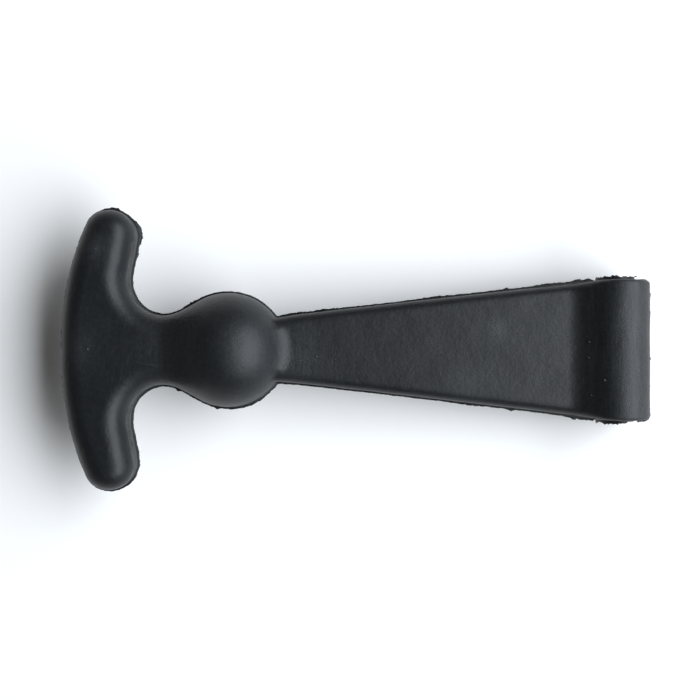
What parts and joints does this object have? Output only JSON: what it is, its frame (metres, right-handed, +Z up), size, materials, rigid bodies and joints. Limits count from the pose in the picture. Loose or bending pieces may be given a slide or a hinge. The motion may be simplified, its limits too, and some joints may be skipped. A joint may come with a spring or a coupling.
{
  "type": "rubber T-handle draw latch",
  "caption": "Moulded rubber draw latch: a T-shaped pull handle, a ball that drops behind a forked keeper, and a tapered strap ending in a hinge barrel bored for a pin.",
  "frame": {"origin": "centre of the hinge-pin bore, on the moulding's mid-plane", "axes": "+Y along the hinge-pin bore, the latch lies toward -X with its T handle at the far end, +Z up as it rests on a table"},
  "size_m": [0.1234, 0.0582, 0.0236],
  "materials": {
    "rubber": "semi-matt moulded black rubber with a faint bluish bloom"
  },
  "bodies": {
    "root": {"latch_moulding": "rubber"}
  },
  "joints": []
}
